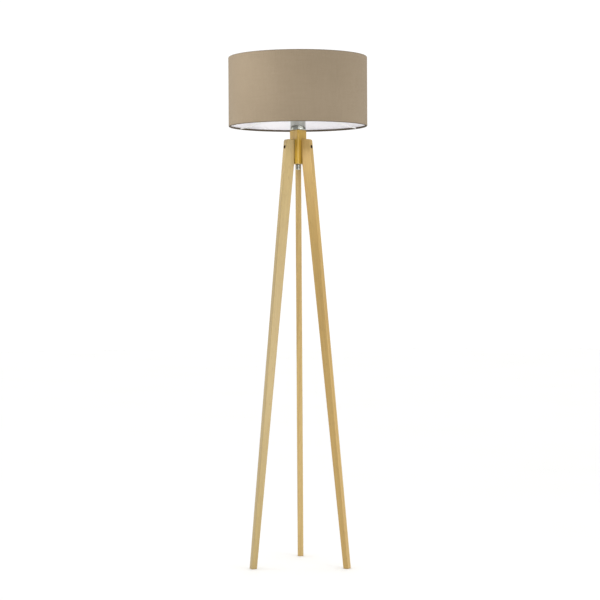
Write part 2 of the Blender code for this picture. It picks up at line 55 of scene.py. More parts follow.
# =====================================================================  node graphs
class Graph:
    """A material's node tree with short calls for the nodes used here."""

    def __init__(self, name):
        self.material = bpy.data.materials.new(name)
        self.material.use_nodes = True
        self.tree = self.material.node_tree
        self.tree.nodes.clear()
        self.out = self.tree.nodes.new("ShaderNodeOutputMaterial")
        self.shader = self.tree.nodes.new("ShaderNodeBsdfPrincipled")
        self.tree.links.new(self.shader.outputs[0], self.out.inputs[0])

    def new(self, kind, **settings):
        node = self.tree.nodes.new(kind)
        for key, value in settings.items():
            setattr(node, key, value)
        return node

    def put(self, socket, value):
        if value is None:
            return
        if hasattr(value, "is_output") or isinstance(value, bpy.types.NodeSocket):
            self.tree.links.new(value, socket)
        else:
            socket.default_value = value

    def set(self, **values):
        for key, value in values.items():
            self.put(self.shader.inputs[key.replace("_", " ")], value)
        return self.material

    def coords(self, kind="Object"):
        return self.new("ShaderNodeTexCoord").outputs[kind]

    def attribute(self, name):
        return self.new("ShaderNodeAttribute", attribute_name=name).outputs["Fac"]

    def uv(self):
        return self.new("ShaderNodeUVMap", uv_map="metres").outputs[0]

    def split(self, vector):
        node = self.new("ShaderNodeSeparateXYZ")
        self.put(node.inputs[0], vector)
        return node.outputs[0], node.outputs[1], node.outputs[2]

    def join(self, x=0.0, y=0.0, z=0.0):
        node = self.new("ShaderNodeCombineXYZ")
        for socket, value in zip(node.inputs, (x, y, z)):
            self.put(socket, value)
        return node.outputs[0]

    def mapping(self, vector, location=(0, 0, 0), rotation=(0, 0, 0), scale=(1, 1, 1)):
        node = self.new("ShaderNodeMapping")
        self.put(node.inputs["Vector"], vector)
        node.inputs["Location"].default_value = location
        node.inputs["Rotation"].default_value = rotation
        node.inputs["Scale"].default_value = scale
        return node.outputs[0]

    def math(self, operation, a, b=None, c=None, clamp=False):
        node = self.new("ShaderNodeMath", operation=operation, use_clamp=clamp)
        for socket, value in zip(node.inputs, (a, b, c)):
            self.put(socket, value)
        return node.outputs[0]

    def add(self, a, b):
        return self.math("ADD", a, b)

    def mul(self, a, b):
        return self.math("MULTIPLY", a, b)

    def vector(self, operation, a, b):
        node = self.new("ShaderNodeVectorMath", operation=operation)
        self.put(node.inputs[0], a)
        self.put(node.inputs[1], b)
        return node.outputs[0]

    def noise(self, vector, scale=1.0, detail=2.0, roughness=0.5, distortion=0.0, output="Fac"):
        node = self.new("ShaderNodeTexNoise")
        self.put(node.inputs["Vector"], vector)
        node.inputs["Scale"].default_value = scale
        node.inputs["Detail"].default_value = detail
        node.inputs["Roughness"].default_value = roughness
        node.inputs["Distortion"].default_value = distortion
        return node.outputs[output]

    def ramp(self, value, stops, interpolation="LINEAR"):
        node = self.new("ShaderNodeValToRGB")
        self.put(node.inputs[0], value)
        node.color_ramp.interpolation = interpolation
        points = node.color_ramp.elements
        while len(points) < len(stops):
            points.new(0.5)
        for point, (position, colour) in zip(points, stops):
            point.position = position
            point.color = colour if hasattr(colour, "__len__") else (colour, colour, colour, 1.0)
        return node.outputs[0]

    def span(self, value, low, high, to_low=0.0, to_high=1.0, smooth=False):
        node = self.new("ShaderNodeMapRange", clamp=True)
        node.interpolation_type = "SMOOTHSTEP" if smooth else "LINEAR"
        self.put(node.inputs["Value"], value)
        node.inputs["From Min"].default_value = low
        node.inputs["From Max"].default_value = high
        node.inputs["To Min"].default_value = to_low
        node.inputs["To Max"].default_value = to_high
        return node.outputs["Result"]

    def mix(self, factor, a, b, blend="MIX"):
        node = self.new("ShaderNodeMix", data_type="RGBA", blend_type=blend)
        self.put(node.inputs["Factor"], factor)
        self.put(node.inputs[6], a)
        self.put(node.inputs[7], b)
        return node.outputs[2]

    def bump(self, height, distance, strength=1.0, normal=None):
        node = self.new("ShaderNodeBump")
        node.inputs["Strength"].default_value = strength
        node.inputs["Distance"].default_value = distance
        self.put(node.inputs["Height"], height)
        self.put(node.inputs["Normal"], normal)
        return node.outputs[0]


# =====================================================================  materials
def wood(name, seed, tilt=0.0, light=(173, 149, 89), dark=(142, 111, 55), pith=(0.028, 0.041)):
    """Pale lacquered timber, solid-textured: growth rings round a pith line beside the piece, fibres along its length,
    ray flecks, slow colour drift, a satin clear coat. tilt turns the grain in the piece's own X-Z plane."""
    g = Graph(name)
    p = g.mapping(g.coords(), rotation=(0.0, tilt, 0.0))
    p = g.mapping(p, location=(pith[0], pith[1], 0.37 * seed))
    drift = g.noise(g.mapping(p, scale=(9.0, 9.0, 1.1)), 1.0, 2.0, 0.5, output="Color")
    drift = g.vector("SUBTRACT", drift, (0.5, 0.5, 0.5))
    q = g.vector("ADD", p, g.vector("MULTIPLY", drift, (0.010, 0.010, 0.0)))
    rings = g.new("ShaderNodeTexWave", wave_type="RINGS", rings_direction="Z", wave_profile="SAW")
    g.put(rings.inputs["Vector"], q)
    rings.inputs["Scale"].default_value = 118.0
    rings.inputs["Distortion"].default_value = 1.1
    rings.inputs["Detail"].default_value = 2.0
    rings.inputs["Detail Scale"].default_value = 0.35
    late = g.ramp(rings.outputs["Fac"], [(0.0, 0.0), (0.55, 0.12), (0.86, 0.75), (0.95, 1.0), (1.0, 0.15)])
    fibre = g.noise(g.mapping(q, scale=(1500.0, 1500.0, 26.0)), 1.0, 3.0, 0.62)
    streak = g.noise(g.mapping(q, scale=(210.0, 210.0, 2.4)), 1.0, 3.0, 0.6)
    cloud = g.noise(g.mapping(p, scale=(22.0, 22.0, 3.2)), 1.0, 2.0, 0.5)
    fleck = g.span(g.noise(g.mapping(q, scale=(620.0, 620.0, 62.0)), 1.0, 1.0, 0.4), 0.63, 0.74, 0.0, 1.0, True)
    amount = g.add(g.mul(late, 0.34), g.mul(g.span(fibre, 0.3, 0.7), 0.20))
    amount = g.add(amount, g.mul(g.span(streak, 0.32, 0.68), 0.26))
    amount = g.add(amount, g.mul(g.span(cloud, 0.3, 0.7), 0.18))
    colour = g.mix(amount, srgb(*light), srgb(*dark))
    colour = g.mix(g.mul(fleck, 0.35), colour, srgb(120, 90, 47))
    # open pores: fine dark dashes
    pore = g.span(g.noise(g.mapping(q, scale=(2300.0, 2300.0, 95.0)), 1.0, 1.0, 0.3), 0.70, 0.78, 0.0, 1.0, True)
    colour = g.mix(g.mul(pore, 0.30), colour, srgb(106, 77, 39))
    # edges rubbed a little paler where the lacquer is thin
    edge = g.new("ShaderNodeNewGeometry").outputs["Pointiness"]
    colour = g.mix(g.span(edge, 0.54, 0.62, 0.0, 0.25), colour, srgb(183, 164, 115))
    rough = g.add(g.span(fibre, 0.25, 0.75, 0.34, 0.50), g.mul(late, 0.05))
    height = g.add(g.mul(fibre, 0.55), g.mul(late, -0.25))
    height = g.add(height, g.mul(pore, -0.8))
    height = g.add(height, g.mul(streak, 0.3))
    normal = g.bump(height, 0.00018, 0.55)
    return g.set(
        Base_Color=colour, Roughness=rough, Normal=normal, IOR=1.5, Specular_IOR_Level=0.45, Coat_Weight=0.42, Coat_Roughness=0.30, Coat_IOR=1.5
    )


def weave(name, thread=0.00052, base=(140, 125, 104), deep=(111, 96, 75), pale=(157, 143, 123), rim=None):
    """Plain-weave textile. The UV map is in metres: u round the shade, v up it. Each thread is rounded, passes over and
    under its neighbours, and varies in thickness and tone along its length."""
    g = Graph(name)
    u, v, _ = g.split(g.uv())
    # threads wander slightly
    wander = g.noise(g.mapping(g.uv(), scale=(26.0, 26.0, 1.0)), 1.0, 2.0, 0.5, output="Color")
    wu, wv, _ = g.split(wander)
    u = g.add(u, g.mul(g.math("SUBTRACT", wu, 0.5), thread * 0.9))
    v = g.add(v, g.mul(g.math("SUBTRACT", wv, 0.5), thread * 0.9))
    a, b = g.math("DIVIDE", u, thread), g.math("DIVIDE", v, thread)
    warp_round = g.math("POWER", g.math("ABSOLUTE", g.math("SINE", g.mul(a, math.pi))), 0.6)
    weft_round = g.math("POWER", g.math("ABSOLUTE", g.math("SINE", g.mul(b, math.pi))), 0.6)
    warp_id, weft_id = g.math("FLOOR", a), g.math("FLOOR", b)
    over_warp = g.math("COSINE", g.mul(g.add(g.math("SUBTRACT", b, 0.5), warp_id), math.pi))
    over_weft = g.math("COSINE", g.mul(g.add(g.math("SUBTRACT", a, -0.5), weft_id), math.pi))
    warp_up = g.mul(warp_round, g.math("MULTIPLY_ADD", over_warp, 0.36, 0.64))
    weft_up = g.mul(weft_round, g.math("MULTIPLY_ADD", over_weft, 0.36, 0.64))
    height = g.math("MAXIMUM", warp_up, weft_up)
    on_warp = g.math("GREATER_THAN", warp_up, weft_up)
    # each thread has its own tone, which drifts along it: slubs
    warp_tone = g.noise(g.join(g.mul(warp_id, 7.31), g.mul(v, 16.0), 3.0), 1.0, 2.0, 0.6)
    weft_tone = g.noise(g.join(g.mul(weft_id, 5.17), g.mul(u, 13.0), 9.0), 1.0, 2.0, 0.6)
    tone_node = g.new("ShaderNodeMix", data_type="FLOAT")
    g.put(tone_node.inputs[0], on_warp)
    g.put(tone_node.inputs[2], weft_tone)
    g.put(tone_node.inputs[3], warp_tone)
    tone = g.span(tone_node.outputs[0], 0.28, 0.72)
    colour = g.mix(tone, srgb(*base), srgb(*pale))
    # painted shade: darker where a thread dips under its neighbour
    colour = g.mix(g.span(height, 0.35, 0.85, 0.75, 0.0), colour, srgb(*deep))
    cloud = g.noise(g.mapping(g.uv(), scale=(9.0, 9.0, 1.0)), 1.0, 3.0, 0.55)
    colour = g.mix(g.span(cloud, 0.3, 0.7, 0.0, 0.16), colour, srgb(*deep))
    if rim is not None:
        colour = g.mix(g.attribute("rim"), colour, srgb(*rim))
    fuzz = g.noise(g.mapping(g.uv(), scale=(5200.0, 5200.0, 1.0)), 1.0, 2.0, 0.6)
    rough = g.span(fuzz, 0.2, 0.8, 0.80, 0.95)
    normal = g.bump(g.add(height, g.mul(fuzz, 0.14)), 0.00022, 0.8)
    return g.set(
        Base_Color=colour, Roughness=rough, Normal=normal, Specular_IOR_Level=0.25, Sheen_Weight=0.03, Sheen_Roughness=0.45
    )


def liner_sheet(name):
    """White laminated sheet: fine embossed grain, faint rolling marks, satin."""
    g = Graph(name)
    grain = g.noise(g.mapping(g.uv(), scale=(2600.0, 2600.0, 1.0)), 1.0, 2.0, 0.5)
    marks = g.noise(g.mapping(g.uv(), scale=(3.0, 160.0, 1.0)), 1.0, 2.0, 0.5)
    cloud = g.noise(g.mapping(g.uv(), scale=(7.0, 7.0, 1.0)), 1.0, 2.0, 0.5)
    colour = g.mix(g.span(cloud, 0.3, 0.7, 0.0, 0.5), srgb(243, 242, 246), srgb(236, 235, 239))
    rough = g.add(g.span(grain, 0.3, 0.7, 0.42, 0.55), g.mul(g.math("SUBTRACT", marks, 0.5), 0.06))
    normal = g.bump(g.add(grain, g.mul(marks, 0.5)), 0.00006, 0.5)
    return g.set(Base_Color=colour, Roughness=rough, Normal=normal, Specular_IOR_Level=0.45)


def metal(name, colour, rough=(0.12, 0.22), turned=0.0, dirt=None, metallic=1.0, scratch=0.35, coat=0.0):
    """Metal with fine lathe lines round Z (turned), scattered hair scratches, and a haze that varies its roughness."""
    g = Graph(name)
    p = g.coords()
    x, y, z = g.split(p)
    radius = g.math("SQRT", g.add(g.mul(x, x), g.mul(y, y)))
    lines = g.noise(g.join(0.0, g.mul(z, 9000.0), g.mul(radius, 9000.0)), 1.0, 2.0, 0.6)
    haze = g.noise(p, 90.0, 3.0, 0.55)
    hair = g.noise(g.mapping(p, rotation=(0.5, 0.9, 0.3), scale=(260.0, 260.0, 9000.0)), 1.0, 2.0, 0.7)
    hair = g.span(hair, 0.66, 0.72)
    tint = g.mix(g.span(haze, 0.3, 0.7, 0.0, 0.5), srgb(*colour), srgb(*[int(c * 0.90) for c in colour]))
    if dirt is not None:
        grime = g.span(g.noise(p, 320.0, 4.0, 0.6), 0.52, 0.72, 0.0, 0.6)
        tint = g.mix(grime, tint, srgb(*dirt))
    roughness = g.add(g.span(haze, 0.25, 0.75, rough[0], rough[1]), g.mul(lines, 0.10 * turned))
    roughness = g.add(roughness, g.mul(hair, 0.10 * scratch))
    height = g.add(g.mul(lines, turned), g.mul(hair, -scratch))
    normal = g.bump(height, 0.00002, 0.35)
    return g.set(
        Base_Color=tint, Metallic=metallic, Roughness=roughness, Normal=normal, Coat_Weight=coat, Coat_Roughness=0.08
    )


def powder_coat(name, colour=(238, 238, 236)):
    g = Graph(name)
    p = g.coords()
    peel = g.noise(p, 900.0, 2.0, 0.5)
    speck = g.noise(p, 4200.0, 1.0, 0.5)
    dust = g.span(g.noise(p, 60.0, 4.0, 0.6), 0.45, 0.75, 0.0, 0.5)
    tint = g.mix(dust, srgb(*colour), srgb(*[int(c * 0.95) for c in colour]))
    rough = g.span(peel, 0.3, 0.7, 0.30, 0.42)
    normal = g.bump(g.add(peel, g.mul(speck, 0.2)), 0.00008, 0.5)
    return g.set(Base_Color=tint, Roughness=rough, Normal=normal)


def ceramic(name):
    g = Graph(name)
    p = g.coords()
    pool = g.noise(p, 120.0, 2.0, 0.5)
    speck = g.span(g.noise(p, 1500.0, 1.0, 0.5), 0.74, 0.80)
    tint = g.mix(g.span(pool, 0.3, 0.7), srgb(240, 237, 229), srgb(228, 224, 212))
    tint = g.mix(g.mul(speck, 0.5), tint, srgb(150, 138, 118))
    rough = g.span(pool, 0.3, 0.7, 0.14, 0.26)
    normal = g.bump(pool, 0.0002, 0.3)
    return g.set(Base_Color=tint, Roughness=rough, Normal=normal, Coat_Weight=0.6, Coat_Roughness=0.06)


def opal(name):
    """Opal bulb glass: milky, glossy, a little thinner and greyer towards the neck."""
    g = Graph(name)
    p = g.coords()
    _, _, z = g.split(p)
    swirl = g.noise(p, 38.0, 3.0, 0.5)
    tint = g.mix(g.span(swirl, 0.3, 0.7), srgb(246, 245, 240), srgb(238, 237, 230))
    tint = g.mix(g.span(z, 1.309, 1.335, 0.5, 0.0), tint, srgb(214, 213, 206))
    rough = g.span(swirl, 0.3, 0.7, 0.10, 0.18)
    normal = g.bump(swirl, 0.0003, 0.15)
    return g.set(
        Base_Color=tint, Roughness=rough, Normal=normal, Subsurface_Weight=0.25, Subsurface_Radius=(0.004, 0.004, 0.0035),
        Coat_Weight=0.5, Coat_Roughness=0.04,
    )


def plastic(name, colour, rough=(0.35, 0.5)):
    g = Graph(name)
    p = g.coords()
    grain = g.noise(p, 1800.0, 2.0, 0.5)
    cloud = g.noise(p, 150.0, 2.0, 0.5)
    tint = g.mix(g.span(cloud, 0.3, 0.7), srgb(*colour), srgb(*[int(c * 0.93) for c in colour]))
    return g.set(
        Base_Color=tint, Roughness=g.span(grain, 0.3, 0.7, *rough), Normal=g.bump(grain, 0.00005, 0.4), Subsurface_Weight=0.1,
        Subsurface_Radius=(0.002, 0.002, 0.002),
    )


# =====================================================================  mesh helpers (millimetres in, metres out)
def rounded(points, steps=5):
    """Closed loop of (x, y, radius): each corner becomes an arc of its radius. A radius of 0 keeps the corner."""
    out = []
    count = len(points)
    for i, (x, y, radius) in enumerate(points):
        p = Vector((x, y))
        if radius <= 0:
            out.append((x, y))
            continue
        a = Vector(points[i - 1][:2]) - p
        b = Vector(points[(i + 1) % count][:2]) - p
        a.normalize(), b.normalize()
        half = a.angle(b) / 2
        centre = p + (a + b).normalized() * (radius / math.sin(half))
        start = p + a * (radius / math.tan(half)) - centre
        end = p + b * (radius / math.tan(half)) - centre
        turn = math.atan2(start.x * end.y - start.y * end.x, start.dot(end))
        for k in range(steps + 1):
            t = turn * k / steps
            out.append(
                (
                    centre.x + start.x * math.cos(t) - start.y * math.sin(t),
                    centre.y + start.x * math.sin(t) + start.y * math.cos(t),
                )
            )
    return out


def revolve(name, outline, angles, shift=None, rim=None):
    """A closed solid of revolution about Z from a closed loop of (radius, height[, weight]). angles is a count or an array
    over one turn. shift(radius, height, weight, angle) moves a point outwards. Adds a UV map "metres": round, along."""
    theta = np.linspace(0, 2 * math.pi, angles, endpoint=False) if isinstance(angles, int) else np.asarray(angles)
    cols, rows = len(theta), len(outline)
    data = np.array([(p[0], p[1], p[2] if len(p) > 2 else 0.0) for p in outline], float)
    # drop repeated points
    keep = [i for i in range(rows) if np.hypot(*(data[i, :2] - data[i - 1, :2])) > 1e-6]
    data = data[keep]
    rows = len(data)
    length = np.concatenate([[0], np.cumsum(np.hypot(np.diff(data[:, 0]), np.diff(data[:, 1])))])
    closing = length[-1] + np.hypot(*(data[0, :2] - data[-1, :2]))
    verts, index = [], np.zeros((rows, cols), int)
    for i, (r, z, w) in enumerate(data):
        if r < 1e-6:
            index[i, :] = len(verts)
            verts.append((0.0, 0.0, z))
            continue
        radii = np.full(cols, r)
        if shift is not None:
            radii = radii + shift(r, z, w, theta)
        for j in range(cols):
            index[i, j] = len(verts)
            verts.append((radii[j] * math.cos(theta[j]), radii[j] * math.sin(theta[j]), z))
    reach = max(data[:, 0])
    faces, uvs = [], []
    for i in range(rows):
        k = (i + 1) % rows
        v0, v1 = length[i], (closing if k == 0 else length[k])
        for j in range(cols):
            l = (j + 1) % cols
            u0, u1 = theta[j] * reach, (theta[l] if l else 2 * math.pi + theta[0]) * reach
            quad = [(index[i, j], (u0, v0)), (index[i, l], (u1, v0)), (index[k, l], (u1, v1)), (index[k, j], (u0, v1))]
            ring, seen = [], set()
            for vert, uv in quad:
                if vert not in seen:
                    seen.add(vert)
                    ring.append((vert, uv))
            if len(ring) > 2:
                faces.append([q[0] for q in ring])
                uvs.extend(q[1] for q in ring)
    mesh = bpy.data.meshes.new(name)
    mesh.from_pydata([(x / 1000, y / 1000, z / 1000) for x, y, z in verts], [], faces)
    layer = mesh.uv_layers.new(name="metres")
    layer.data.foreach_set("uv", (np.array(uvs, float) / 1000).ravel())
    if rim is not None:
        values = [rim(math.hypot(x, y), z) for x, y, z in verts]
        mesh.attributes.new("rim", "FLOAT", "POINT").data.foreach_set("value", np.array(values, np.float32))
    bm = bmesh.new()
    bm.from_mesh(mesh)
    bmesh.ops.recalc_face_normals(bm, faces=bm.faces)
    bm.to_mesh(mesh)
    bm.free()
    return mesh


def prism(name, outline, low, high):
    bm = bmesh.new()
    base = bm.faces.new([bm.verts.new((x / 1000, y / 1000, low / 1000)) for x, y in outline])
    top = bmesh.ops.extrude_face_region(bm, geom=[base])["geom"]
    bmesh.ops.translate(bm, verts=[v for v in top if isinstance(v, bmesh.types.BMVert)], vec=(0, 0, (high - low) / 1000))
    bmesh.ops.recalc_face_normals(bm, faces=bm.faces)
    mesh = bpy.data.meshes.new(name)
    bm.to_mesh(mesh)
    bm.free()
    return mesh


def ring_of(radius, count, start=0.0, across=None):
    if across is not None:
        radius = across / 2 / math.cos(math.pi / count)
    return [
        (radius * math.cos(start + 2 * math.pi * i / count), radius * math.sin(start + 2 * math.pi * i / count))
        for i in range(count)
    ]


def piece(name, mesh, material, body, replaces=(), matrix=None, sharp=32.0):
    obj = bpy.data.objects.new(name, mesh)
    SCENE.collection.objects.link(obj)
    if isinstance(mesh, bpy.types.Mesh) and sharp:
        mesh.shade_smooth()
        mesh.set_sharp_from_angle(angle=math.radians(sharp))
    if material is not None:
        mesh.materials.append(material)
    if matrix is not None:
        obj.matrix_world = matrix
    if body is not None:
        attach(obj, body)
        if replaces:
            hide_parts(*([replaces] if isinstance(replaces, str) else replaces))
    return obj


def baked(obj):
    """The object's evaluated mesh as its own, with no modifiers left."""
    bpy.context.view_layer.update()
    graph = bpy.context.evaluated_depsgraph_get()
    mesh = bpy.data.meshes.new_from_object(obj.evaluated_get(graph))
    obj.modifiers.clear()
    obj.data = mesh
    return obj


def carve(obj, tools, solver="EXACT"):
    """Cuts the tools out of obj and removes them."""
    for tool in tools:
        modifier = obj.modifiers.new("carve", "BOOLEAN")
        modifier.operation, modifier.solver, modifier.object = "DIFFERENCE", solver, tool
    baked(obj)
    for tool in tools:
        bpy.data.objects.remove(tool, do_unlink=True)
    return obj


def tool(mesh, matrix=None):
    obj = bpy.data.objects.new("tool", mesh)
    SCENE.collection.objects.link(obj)
    if matrix is not None:
        obj.matrix_world = matrix
    return obj


def radial(azimuth, height):
    """Matrix that lays an object's own +Z along the outward direction at this azimuth (degrees), at this height (mm)."""
    return (
        Matrix.Translation((0, 0, height / 1000))
        @ Matrix.Rotation(math.radians(azimuth), 4, "Z")
        @ Matrix.Rotation(math.pi / 2, 4, "Y")
    )


def thread(pitch, depth, hand=1.0, sharpness=1.0):
    """Shift for revolve(): a helical groove, as deep as each point's weight allows."""
    def shift(r, z, weight, theta):
        phase = z / pitch - hand * theta / (2 * math.pi)
        wave = 0.5 - 0.5 * np.cos(2 * math.pi * phase)
        return -depth * weight * wave**sharpness
    return shift


def threaded_run(radius, low, high, step, runout):
    """Points (radius, height, weight) up a threaded wall, its groove fading out over runout at both ends."""
    count = max(2, int(round((high - low) / step)))
    points = []
    for i in range(count + 1):
        z = low + (high - low) * i / count
        w = min(1.0, (z - low) / runout, (high - z) / runout)
        points.append((radius, z, max(0.0, w)))
    return points


# =====================================================================  sizes, the same as the CAD's (mm)
LEG_AZIMUTH = {"left": 210.0, "right": -30.0, "back": 90.0}
HUB_FACE, HUB_R, HUB_LOW, HUB_HIGH = 15.0, 3.2, 1157.0, 1255.0
SCREW_Z, DOWEL_Z = 1206.0, 1189.0
SHADE_R, SHADE_LOW, SHADE_HIGH = 200.0, 1265.0, 1465.0
SEAM = math.radians(90.0)

# =====================================================================  hub block
HUB_WOOD = wood("hub_wood", 5.0, pith=(0.055, 0.034), light=(192, 157, 56), dark=(160, 119, 34))
corner = [
    (2 * HUB_FACE * math.cos(math.radians(a)), 2 * HUB_FACE * math.sin(math.radians(a)), HUB_R) for a in (-90, 30, 150)
]
hub = piece(
    "hub_block_body", prism("hub_block_body", rounded(corner, 14), HUB_LOW, HUB_HIGH), HUB_WOOD, "stand",
    "hub_block", sharp=0,
)
bevel = hub.modifiers.new("eased", "BEVEL")
bevel.width, bevel.segments, bevel.limit_method, bevel.angle_limit = 0.0011, 4, "ANGLE", math.radians(40)
baked(hub)
tools = [tool(prism("t", ring_of(5.3, 40), HUB_LOW - 5, HUB_HIGH + 5))]
for azimuth in LEG_AZIMUTH.values():
    tools.append(tool(prism("t", ring_of(4.3, 32), 7.0, 24.0), radial(azimuth, SCREW_Z)))
    tools.append(tool(prism("t", ring_of(3.3, 32), 8.7, 24.0), radial(azimuth, DOWEL_Z)))
carve(hub, tools)

# =====================================================================  legs
LEG_OUTLINE = rounded(
    [(146.6, 0.0, 0), (162.6, 0.0, 0), (42.5, 1228.0, 6.5), (15.3, 1228.0, 0), (15.3, 1180.0, 0)], 12
)
TILT = math.radians(5.8)
# each leg's light and dark tones are partly painted light: set per leg to stand in for how brightly each is lit, beside
# the timber's own variation
LEG_TONES_WITH_PAINTED_LIGHT = {
    "left": dict(seed=1.0, pith=(-0.030, 0.046), light=(179, 157, 100), dark=(147, 119, 63)),
    "right": dict(seed=2.0, pith=(0.036, 0.058), light=(191, 161, 94), dark=(158, 121, 58)),
    "back": dict(seed=3.0, pith=(0.064, -0.040), light=(200, 174, 115), dark=(164, 131, 71)),
}


def darken_bore_wall(leg, azimuth, look):
    """Gives the wall of the screw hole its own darker look: partly end grain stained by oil and the drill, partly
    painted shade in the recess.
    """
    leg.data.materials.append(look)
    inward = radial(azimuth, SCREW_Z).inverted() @ leg.matrix_world
    for polygon in leg.data.polygons:
        at = inward @ polygon.center
        if math.hypot(at.x, at.y) < 0.0054 and at.z < 0.0455:
            polygon.material_index = 1


def finish_hard(obj, angle=32.0):
    """Smooth shading on the rounded edges, with the flat faces kept flat."""
    obj.data.shade_smooth()
    obj.data.set_sharp_from_angle(angle=math.radians(angle))
    modifier = obj.modifiers.new("flat_faces", "WEIGHTED_NORMAL")
    modifier.keep_sharp, modifier.weight = True, 100
    return baked(obj)


# very dark wood for the bore walls: partly end grain, partly painted shade in the screw recess
BORE_GRAIN_AND_SHADE = wood("bore_end_grain_and_painted_shade", 6.0, light=(74, 54, 28), dark=(44, 30, 14))
for side, azimuth in LEG_AZIMUTH.items():
    mesh = prism("leg_plank_" + side, LEG_OUTLINE, -8.5, 8.5)
    mesh.transform(Matrix(((1, 0, 0, 0), (0, 0, -1, 0), (0, 1, 0, 0), (0, 0, 0, 1))))
    turn = Matrix.Rotation(math.radians(azimuth), 4, "Z")
    leg = piece(
        "leg_plank_" + side, mesh, wood("leg_wood_painted_light_" + side, tilt=TILT, **LEG_TONES_WITH_PAINTED_LIGHT[side]), "stand",
        "leg_" + side, turn, sharp=0,
    )
    bevel = leg.modifiers.new("eased", "BEVEL")
    bevel.width, bevel.segments, bevel.limit_method, bevel.angle_limit = 0.0014, 5, "ANGLE", math.radians(40)
    baked(leg)
    mouth = 44.4  # where the outer edge is at the screw's height
    bore = revolve(
        "t", [(0.0, 33.5), (4.75, 33.5), (4.75, mouth - 0.8), (5.35, mouth + 0.6), (5.35, 60.0), (0.0, 60.0)], 40
    )
    carve(
        leg,
        [
            tool(bore, radial(azimuth, SCREW_Z)),
            tool(prism("t", ring_of(2.8, 24), 12.0, 36.0), radial(azimuth, SCREW_Z)),
            tool(prism("t", ring_of(3.3, 24), 12.0, 26.3), radial(azimuth, DOWEL_Z)),
        ],
    )
    darken_bore_wall(leg, azimuth, BORE_GRAIN_AND_SHADE)
    finish_hard(leg)
finish_hard(hub)

# =====================================================================  leg screws, insert nuts, dowels
BLACK = metal("black_oxide_steel", (34, 30, 25), (0.42, 0.55), turned=0.4, metallic=0.4, dirt=(52, 38, 24))
ZINC = metal("zinc_plate", (186, 188, 190), (0.26, 0.38), turned=0.5, dirt=(150, 146, 136))
BEECH = wood("dowel_beech", 8.0, pith=(0.02, 0.03), light=(179, 156, 109), dark=(158, 128, 82))
HEAD = 33.8
SCREW = (
    [(0.0, 8.5), (1.9, 8.5)]
    + threaded_run(2.5, 9.1, 26.0, 0.2, 1.0)
    + [(2.5, HEAD - 0.3), (2.75, HEAD), (4.0, HEAD), (4.25, HEAD + 0.25)]
    + [(4.25, HEAD + 4.4, 0.0), (4.15, HEAD + 4.75), (3.9, HEAD + 5.0), (0.0, HEAD + 5.0)]
)
INSERT = (
    [(2.8, 7.3), (3.4, 7.3)] + threaded_run(4.0, 7.9, 14.4, 0.25, 0.6) + [(4.0, 14.8), (2.8, 14.8)]
)


def fluted(depth, count, low, high):
    def shift(r, z, weight, theta):
        inside = 1.0 if low < z < high else 0.0
        return -depth * inside * weight * (0.5 - 0.5 * np.cos(count * theta)) ** 2
    return shift


DOWEL = [(0.0, 9.0), (2.3, 9.0), (2.8, 9.35), (3.0, 10.0, 1.0), (3.0, 25.0, 1.0), (2.8, 25.65), (2.3, 26.0), (0.0, 26.0)]
for side, azimuth in LEG_AZIMUTH.items():
    screw = piece(
        "leg_bolt_" + side, revolve("leg_bolt_" + side, SCREW, 32, thread(0.8, 0.45)), BLACK, "stand",
        "leg_screw_" + side, radial(azimuth, SCREW_Z),
    )
    carve(screw, [tool(prism("t", ring_of(0, 6, across=4.0), HEAD + 2.4, HEAD + 8.0), radial(azimuth, SCREW_Z))])
    screw.data.set_sharp_from_angle(angle=math.radians(32))
    piece(
        "insert_nut_" + side, revolve("insert_nut_" + side, INSERT, 32, thread(2.0, 0.55, sharpness=0.6)), ZINC, "stand",
        "hub_insert_nut_" + side, radial(azimuth, SCREW_Z),
    )
    piece(
        "dowel_pin_" + side, revolve("dowel_pin_" + side, DOWEL, 72, fluted(0.22, 18, 9.6, 25.4)), BEECH, "stand",
        "leg_dowel_" + side, radial(azimuth, DOWEL_Z),
    )

# =====================================================================  tube, gland
TUBE = [(3.9, 1148.3), (4.7, 1148.3)] + threaded_run(5.0, 1148.7, 1261.6, 0.25, 0.5) + [(4.7, 1262.0), (3.9, 1262.0)]
piece("threaded_tube_m10", revolve("threaded_tube_m10", TUBE, 36, thread(1.0, 0.35)), ZINC, "stand", "threaded_tube")
CHROME = metal("satin_chrome", (184, 186, 178), (0.07, 0.12), turned=0.5)
gland_outline = rounded(
    [
        (3.9, 1141.0, 0.3), (7.0, 1141.0, 0.9), (7.0, 1149.6, 0.15), (6.65, 1149.6, 0.1), (6.65, 1150.4, 0.1),
        (7.0, 1150.4, 0.15), (7.0, 1156.7, 0.5), (5.3, 1156.7, 0), (5.3, 1148.0, 0), (3.9, 1148.0, 0),
    ],
    4,
)
gland = piece("cable_gland_body", revolve("cable_gland_body", gland_outline, 64), CHROME, "stand", "cable_gland")
carve(gland, [tool(prism("t", ring_of(1.8, 24), 2.0, 9.0), radial(90.0, 1144.8))])
gland.data.set_sharp_from_angle(angle=math.radians(32))
NYLON = plastic("nylon", (226, 223, 212))
grip = piece(
    "grip_screw", revolve("grip_screw", [(0, 4.2), (1.2, 4.2)] + threaded_run(1.5, 4.4, 7.0, 0.12, 0.2) + [(1.5, 7.3), (1.35, 7.4), (0, 7.4)], 24, thread(0.5, 0.2)),
    NYLON, "stand", "gland_grip_screw", radial(90.0, 1144.8),
)
carve(grip, [tool(prism("t", [(-2, -0.25), (2, -0.25), (2, 0.25), (-2, 0.25)], 6.7, 8.0), radial(90.0, 1144.8))])
grip.data.set_sharp_from_angle(angle=math.radians(32))

